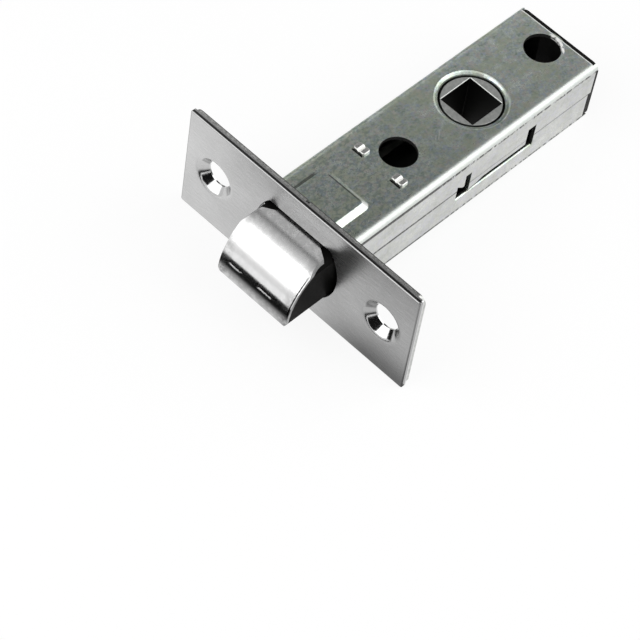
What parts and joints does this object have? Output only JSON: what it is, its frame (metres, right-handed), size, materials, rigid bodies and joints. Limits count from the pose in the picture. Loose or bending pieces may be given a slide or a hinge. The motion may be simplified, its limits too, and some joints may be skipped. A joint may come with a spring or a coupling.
{
  "type": "tubular mortice latch",
  "caption": "Tubular mortice latch for an interior door: screw-on faceplate, sprung bevelled bolt, pressed case and a square follower.",
  "frame": {"origin": "centre of the faceplate's front face, midway between its screw holes", "axes": "+X out of the door's edge along the bolt's travel, +Y along the faceplate's length, +Z along the spindle towards the side that the bolt's bevel faces"},
  "size_m": [0.0806, 0.057, 0.025],
  "materials": {
    "faceplate_nickel": "brushed satin nickel plate",
    "forend_steel": "bright plated sheet",
    "case_zinc": "mottled zinc plate on pressed sheet",
    "staked_steel": "zinc plate, bright where staked",
    "inner_steel": "zinc plate",
    "follower_zinc": "cast, zinc plated",
    "spring_steel": "drawn wire",
    "bolt_chrome": "bright plate on wrapped sheet",
    "bolt_nylon": "moulded black nylon",
    "cap_nylon": "moulded black nylon"
  },
  "bodies": {
    "case": {"faceplate": "faceplate_nickel", "inner_forend": "forend_steel", "upper_case": "case_zinc", "lower_case": "case_zinc", "end_cap": "cap_nylon", "guide_plate": "staked_steel", "bolt_spring": "spring_steel", "left_return_spring": "spring_steel", "right_return_spring": "spring_steel"},
    "bolt": {"bolt_skin": "bolt_chrome", "bolt_core": "bolt_nylon", "left_link_pin": "inner_steel", "right_link_pin": "inner_steel", "upper_draw_plate": "inner_steel", "lower_draw_plate": "inner_steel", "left_draw_block": "inner_steel", "right_draw_block": "inner_steel"},
    "follower": {"follower": "follower_zinc"}
  },
  "joints": [
    {"name": "follower_turn", "type": "hinge", "parent": "case", "child": "follower", "pos_m": [-0.045, 0, 0], "axis": [0, 0, 1], "range_deg": [0, 78]},
    {"name": "bolt_slide", "type": "slide", "parent": "case", "child": "bolt", "axis": [1, 0, 0], "range_m": [-0.0104, 0], "stiffness_N_per_m": 500, "springref_m": 0.016, "deforming": ["bolt_spring", "left_return_spring", "right_return_spring"]}
  ],
  "couplings": [
    {"joint": "follower_turn", "follows": "bolt_slide", "rad_per_m": -130.9}
  ]
}
